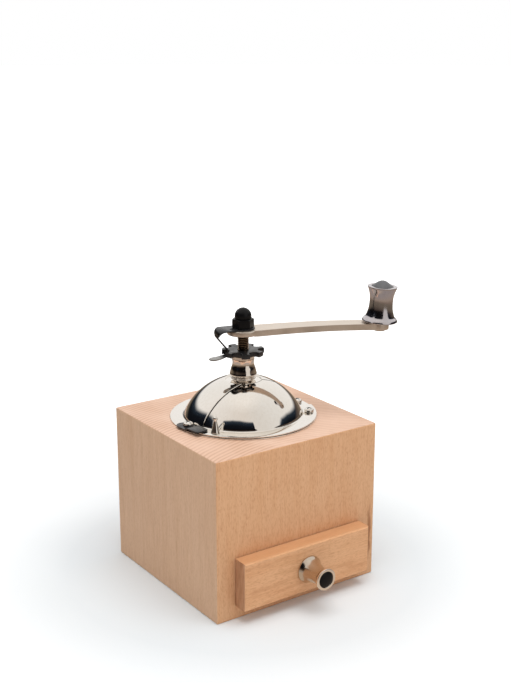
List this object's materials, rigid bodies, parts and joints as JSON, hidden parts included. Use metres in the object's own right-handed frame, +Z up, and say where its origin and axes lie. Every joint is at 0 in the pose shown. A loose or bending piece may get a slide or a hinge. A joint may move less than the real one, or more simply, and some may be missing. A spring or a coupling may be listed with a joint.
{
  "type": "hand cranked box mill",
  "caption": "Square wooden box mill for salt, pepper and spices, with a domed metal hopper cover, a swinging hopper door, a top crank with a turned knob, and a drawer.",
  "frame": {"origin": "centre of the box's underside, on the surface it stands on", "axes": "+Z up along the spindle, -Y out of the drawer's front, +X to the right of someone facing the drawer"},
  "size_m": [0.1611, 0.1609, 0.2034],
  "materials": {
    "beech": "fine sanded natural beech",
    "drawer_beech": "fine sanded natural beech",
    "plywood": "plain plywood",
    "polished_nickel": "mirror polished nickel plate",
    "cast_nickel": "satin nickel plated casting",
    "black_steel": "black oxide, satin",
    "black_plastic": "satin black",
    "grey_plastic": "satin dark grey",
    "plain_steel": "zinc plated steel",
    "hardened_steel": "case hardened steel"
  },
  "bodies": {
    "case": {"front_board": "beech", "right_board": "beech", "back_board": "beech", "left_board": "beech", "top_board": "beech", "bottom_board": "beech", "drawer_runner_left": "beech", "drawer_runner_right": "beech", "hopper": "polished_nickel", "burr_ring": "hardened_steel", "bearing_bridge": "plain_steel", "mill_bolt_left": "plain_steel", "mill_bolt_right": "plain_steel", "bridge_nut_left": "plain_steel", "bridge_nut_right": "plain_steel", "rear_dome": "polished_nickel", "neck_collar": "polished_nickel", "neck_nut": "plain_steel", "latch_plate": "black_steel", "latch_screw": "polished_nickel", "ring_screw_right": "polished_nickel", "ring_screw_rear": "polished_nickel", "door_pivot_screw": "polished_nickel"},
    "drawer": {"drawer_front": "drawer_beech", "drawer_side_left": "drawer_beech", "drawer_side_right": "drawer_beech", "drawer_back": "drawer_beech", "drawer_floor": "plywood", "drawer_knob": "polished_nickel", "drawer_knob_cap": "black_plastic", "drawer_knob_screw": "plain_steel"},
    "door": {"dome_door": "polished_nickel", "pull_pin": "polished_nickel"},
    "rotor": {"thrust_washer": "plain_steel", "load_spring": "plain_steel"},
    "wheel": {"adjusting_wheel": "black_steel"},
    "spindle": {"spindle": "plain_steel", "burr_cone": "hardened_steel", "cone_pin": "plain_steel", "spring_collar": "plain_steel", "crank_arm": "cast_nickel", "clip_strap": "black_steel", "acorn_nut": "black_plastic", "knob_axle": "plain_steel"},
    "clip": {"clip_leaf": "black_steel"},
    "knob": {"crank_knob": "polished_nickel", "knob_cap": "grey_plastic"}
  },
  "joints": [
    {"name": "drawer_slide", "type": "slide", "parent": "case", "child": "drawer", "axis": [0, -1, 0], "range_m": [0, 0.085]},
    {"name": "door_swing", "type": "hinge", "parent": "case", "child": "door", "pos_m": [0.0376, -0.02508, 0.113], "axis": [0, 0, 1], "range_deg": [0, 90]},
    {"name": "crank_turn", "type": "hinge", "parent": "case", "child": "rotor", "pos_m": [0, 0, 0.1547], "axis": [0, 0, 1], "continuous": true},
    {"name": "grind_adjust", "type": "hinge", "parent": "rotor", "child": "wheel", "pos_m": [0, 0, 0.157], "axis": [0, 0, 1], "range_deg": [-360, 360]},
    {"name": "spindle_lift", "type": "slide", "parent": "rotor", "child": "spindle", "axis": [0, 0, 1], "range_m": [-0.00125, 0.00125], "deforming": ["load_spring"]},
    {"name": "clip_release", "type": "hinge", "parent": "spindle", "child": "clip", "pos_m": [-0.016, 0.00399, 0.17], "axis": [0.2419, 0.9703, 0], "range_deg": [0, 16], "stiffness_Nm_per_rad": 0.25, "springref_deg": -2.86, "deforming": ["clip_leaf"]},
    {"name": "crank_knob_spin", "type": "hinge", "parent": "spindle", "child": "knob", "pos_m": [0.08393, -0.04277, 0.17423], "axis": [0.0544, -0.0277, 0.9981], "continuous": true}
  ],
  "couplings": [
    {"joint": "grind_adjust", "follows": "spindle_lift", "rad_per_m": -5026.5}
  ]
}
